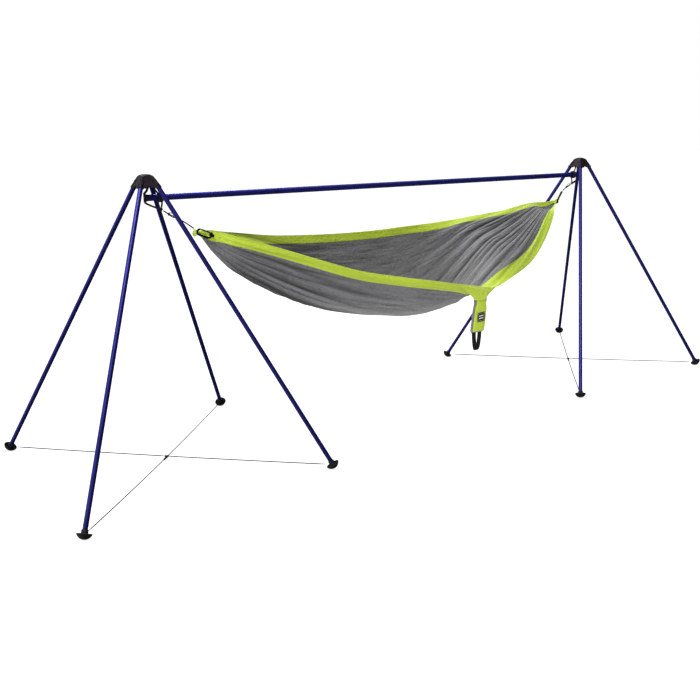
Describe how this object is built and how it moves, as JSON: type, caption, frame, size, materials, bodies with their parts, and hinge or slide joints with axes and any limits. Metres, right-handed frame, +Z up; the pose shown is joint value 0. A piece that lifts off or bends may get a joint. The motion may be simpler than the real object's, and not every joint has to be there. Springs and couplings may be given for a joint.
{
  "type": "hammock on stand",
  "caption": "Gathered-end cloth hammock slung under a tubular ridge bar between two pods of splayed folding legs.",
  "frame": {"origin": "on the floor, midway between the two pods", "axes": "+X along the ridge bar to the right pod, +Y to the back, away from the storage sack, +Z up"},
  "size_m": [4.2384, 1.2484, 1.385],
  "materials": {
    "hub_plastic": "satin",
    "foot_plastic": "satin",
    "cap_plastic": "matte",
    "leg_anodised": "satin",
    "bar_anodised": "satin",
    "rope": "matte",
    "thin_cord": "matte",
    "dark_metal": "satin",
    "grey_nylon": "matte",
    "lime_nylon": "matte",
    "webbing": "matte"
  },
  "bodies": {
    "stand": {"left_hub": "hub_plastic", "right_hub": "hub_plastic", "left_bar_section": "bar_anodised", "middle_bar_section": "bar_anodised", "right_bar_section": "bar_anodised", "left_bar_cap": "cap_plastic", "right_bar_cap": "cap_plastic", "left_bar_sling": "rope", "right_bar_sling": "rope", "left_spread_cord_a": "thin_cord", "left_spread_cord_b": "thin_cord", "right_spread_cord_a": "thin_cord", "right_spread_cord_b": "thin_cord", "left_cord_clip": "cap_plastic", "right_cord_clip": "cap_plastic"},
    "left_outer_front_leg": {"left_outer_front_leg_tip": "hub_plastic", "left_outer_front_leg_upper": "leg_anodised", "left_outer_front_leg_lower": "leg_anodised", "left_outer_front_foot": "foot_plastic"},
    "left_outer_back_leg": {"left_outer_back_leg_tip": "hub_plastic", "left_outer_back_leg_upper": "leg_anodised", "left_outer_back_leg_lower": "leg_anodised", "left_outer_back_foot": "foot_plastic"},
    "left_inner_front_leg": {"left_inner_front_leg_tip": "hub_plastic", "left_inner_front_leg_upper": "leg_anodised", "left_inner_front_leg_lower": "leg_anodised", "left_inner_front_foot": "foot_plastic"},
    "left_inner_back_leg": {"left_inner_back_leg_tip": "hub_plastic", "left_inner_back_leg_upper": "leg_anodised", "left_inner_back_leg_lower": "leg_anodised", "left_inner_back_foot": "foot_plastic"},
    "right_outer_front_leg": {"right_outer_front_leg_tip": "hub_plastic", "right_outer_front_leg_upper": "leg_anodised", "right_outer_front_leg_lower": "leg_anodised", "right_outer_front_foot": "foot_plastic"},
    "right_outer_back_leg": {"right_outer_back_leg_tip": "hub_plastic", "right_outer_back_leg_upper": "leg_anodised", "right_outer_back_leg_lower": "leg_anodised", "right_outer_back_foot": "foot_plastic"},
    "right_inner_front_leg": {"right_inner_front_leg_tip": "hub_plastic", "right_inner_front_leg_upper": "leg_anodised", "right_inner_front_leg_lower": "leg_anodised", "right_inner_front_foot": "foot_plastic"},
    "right_inner_back_leg": {"right_inner_back_leg_tip": "hub_plastic", "right_inner_back_leg_upper": "leg_anodised", "right_inner_back_leg_lower": "leg_anodised", "right_inner_back_foot": "foot_plastic"},
    "hammock": {"hammock_body": "grey_nylon", "front_edge_band": "lime_nylon", "back_edge_band": "lime_nylon", "left_suspension_line": "rope", "right_suspension_line": "rope", "left_carabiner": "dark_metal", "right_carabiner": "dark_metal", "left_gather_loop": "rope", "right_gather_loop": "rope"},
    "left_gate": {"left_carabiner_gate": "dark_metal"},
    "right_gate": {"right_carabiner_gate": "dark_metal"},
    "sack": {"storage_sack": "lime_nylon", "sack_strap": "webbing"}
  },
  "joints": [
    {"name": "left_outer_front_leg_fold", "type": "hinge", "parent": "stand", "child": "left_outer_front_leg", "pos_m": [-1.52541, -0.03041, 1.352], "axis": [0.7071, -0.7071, 0], "range_deg": [0, 29], "deforming": ["left_spread_cord_a"]},
    {"name": "left_outer_back_leg_fold", "type": "hinge", "parent": "stand", "child": "left_outer_back_leg", "pos_m": [-1.52541, 0.03041, 1.352], "axis": [-0.7071, -0.7071, 0], "range_deg": [0, 29], "deforming": ["left_spread_cord_b"]},
    {"name": "left_inner_front_leg_fold", "type": "hinge", "parent": "stand", "child": "left_inner_front_leg", "pos_m": [-1.46459, -0.03041, 1.352], "axis": [0.7071, 0.7071, 0], "range_deg": [0, 29], "deforming": ["left_spread_cord_b"]},
    {"name": "left_inner_back_leg_fold", "type": "hinge", "parent": "stand", "child": "left_inner_back_leg", "pos_m": [-1.46459, 0.03041, 1.352], "axis": [-0.7071, 0.7071, 0], "range_deg": [0, 29], "deforming": ["left_spread_cord_a"]},
    {"name": "right_outer_front_leg_fold", "type": "hinge", "parent": "stand", "child": "right_outer_front_leg", "pos_m": [1.52541, -0.03041, 1.352], "axis": [0.7071, 0.7071, 0], "range_deg": [0, 29], "deforming": ["right_spread_cord_b"]},
    {"name": "right_outer_back_leg_fold", "type": "hinge", "parent": "stand", "child": "right_outer_back_leg", "pos_m": [1.52541, 0.03041, 1.352], "axis": [-0.7071, 0.7071, 0], "range_deg": [0, 29], "deforming": ["right_spread_cord_a"]},
    {"name": "right_inner_front_leg_fold", "type": "hinge", "parent": "stand", "child": "right_inner_front_leg", "pos_m": [1.46459, -0.03041, 1.352], "axis": [0.7071, -0.7071, 0], "range_deg": [0, 29], "deforming": ["right_spread_cord_a"]},
    {"name": "right_inner_back_leg_fold", "type": "hinge", "parent": "stand", "child": "right_inner_back_leg", "pos_m": [1.46459, 0.03041, 1.352], "axis": [-0.7071, -0.7071, 0], "range_deg": [0, 29], "deforming": ["right_spread_cord_b"]},
    {"name": "hammock_swing", "type": "hinge", "parent": "stand", "child": "hammock", "pos_m": [0, -0.0216, 1.222], "axis": [1, 0, 0], "range_deg": [-20, 20]},
    {"name": "sack_swing", "type": "hinge", "parent": "hammock", "child": "sack", "pos_m": [0.29, -0.344, 0.686], "axis": [1, 0, 0], "range_deg": [-60, 30]},
    {"name": "left_gate_open", "type": "hinge", "parent": "hammock", "child": "left_gate", "pos_m": [-1.24992, -0.03501, 1.11821], "axis": [0.414, 0.7892, 0.4536], "range_deg": [0, 22], "stiffness_Nm_per_rad": 0.05, "springref_deg": -17.19},
    {"name": "right_gate_open", "type": "hinge", "parent": "hammock", "child": "right_gate", "pos_m": [1.33159, 0.01198, 1.15434], "axis": [-0.6402, 0.6017, 0.4776], "range_deg": [0, 22], "stiffness_Nm_per_rad": 0.05, "springref_deg": -17.19}
  ]
}
